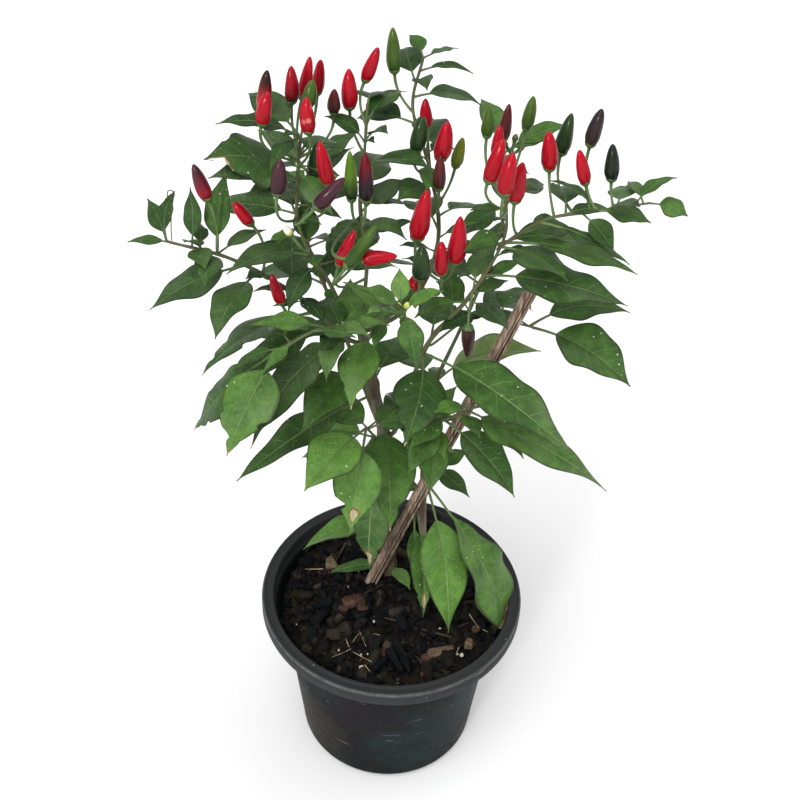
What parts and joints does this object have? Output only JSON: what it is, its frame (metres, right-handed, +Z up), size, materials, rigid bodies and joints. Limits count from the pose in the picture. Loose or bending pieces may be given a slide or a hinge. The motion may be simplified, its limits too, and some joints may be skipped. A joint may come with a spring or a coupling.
{
  "type": "potted chilli pepper plant",
  "caption": "Leafy, branching chilli pepper plant with upright peppers, held by wooden stakes in a squat round black nursery pot of potting mix.",
  "frame": {"origin": "middle of the pot's underside, on the surface it stands on", "axes": "+Z up the plant, -Y the front that shows the leaning main stake rising to the right, +X right"},
  "size_m": [0.3318, 0.272, 0.572],
  "materials": {
    "pot_plastic": "black moulded plastic, scuffed",
    "potting_mix": "damp composted bark mix",
    "stake_wood": "weathered split wood",
    "foliage": "satin green leaves on green to woody stems",
    "pepper_red": "glossy red skin",
    "pepper_maroon": "glossy dark red skin",
    "pepper_purple": "glossy purple-black skin",
    "pepper_green": "glossy bright green skin",
    "pepper_dark_green": "glossy dark green skin"
  },
  "bodies": {
    "root": {"branch_back_left": "foliage", "branch_back_right": "foliage", "branch_front": "foliage", "branch_front_left": "foliage", "branch_left": "foliage", "branch_low_right": "foliage", "branch_right": "foliage", "branch_top": "foliage", "branch_upper_left": "foliage", "branch_upper_right": "foliage", "main_stem": "foliage", "pepper_left_1": "pepper_maroon", "pepper_left_2": "pepper_red", "pepper_left_3": "pepper_red", "pepper_right_1": "pepper_green", "pepper_right_10": "pepper_purple", "pepper_right_11": "pepper_dark_green", "pepper_right_12": "pepper_purple", "pepper_right_13": "pepper_red", "pepper_right_2": "pepper_maroon", "pepper_right_3": "pepper_red", "pepper_right_4": "pepper_red", "pepper_right_5": "pepper_red", "pepper_right_6": "pepper_green", "pepper_right_7": "pepper_red", "pepper_right_8": "pepper_dark_green", "pepper_right_9": "pepper_red", "pepper_top_1": "pepper_red", "pepper_top_2": "pepper_red", "pepper_top_3": "pepper_green", "pepper_top_4": "pepper_maroon", "pepper_top_5": "pepper_red", "pepper_top_6": "pepper_green", "pepper_top_7": "pepper_red", "pepper_upper_left_1": "pepper_maroon", "pepper_upper_left_10": "pepper_red", "pepper_upper_left_11": "pepper_red", "pepper_upper_left_12": "pepper_purple", "pepper_upper_left_2": "pepper_red", "pepper_upper_left_3": "pepper_red", "pepper_upper_left_4": "pepper_green", "pepper_upper_left_5": "pepper_red", "pepper_upper_left_6": "pepper_maroon", "pepper_upper_left_7": "pepper_red", "pepper_upper_left_8": "pepper_dark_green", "pepper_upper_left_9": "pepper_purple", "pepper_upper_right_1": "pepper_green", "pepper_upper_right_10": "pepper_red", "pepper_upper_right_2": "pepper_dark_green", "pepper_upper_right_3": "pepper_red", "pepper_upper_right_4": "pepper_maroon", "pepper_upper_right_5": "pepper_green", "pepper_upper_right_6": "pepper_red", "pepper_upper_right_7": "pepper_red", "pepper_upper_right_8": "pepper_red", "pepper_upper_right_9": "pepper_dark_green", "pot": "pot_plastic", "potting_mix": "potting_mix", "stake_back": "stake_wood", "stake_main": "stake_wood"}
  },
  "joints": []
}
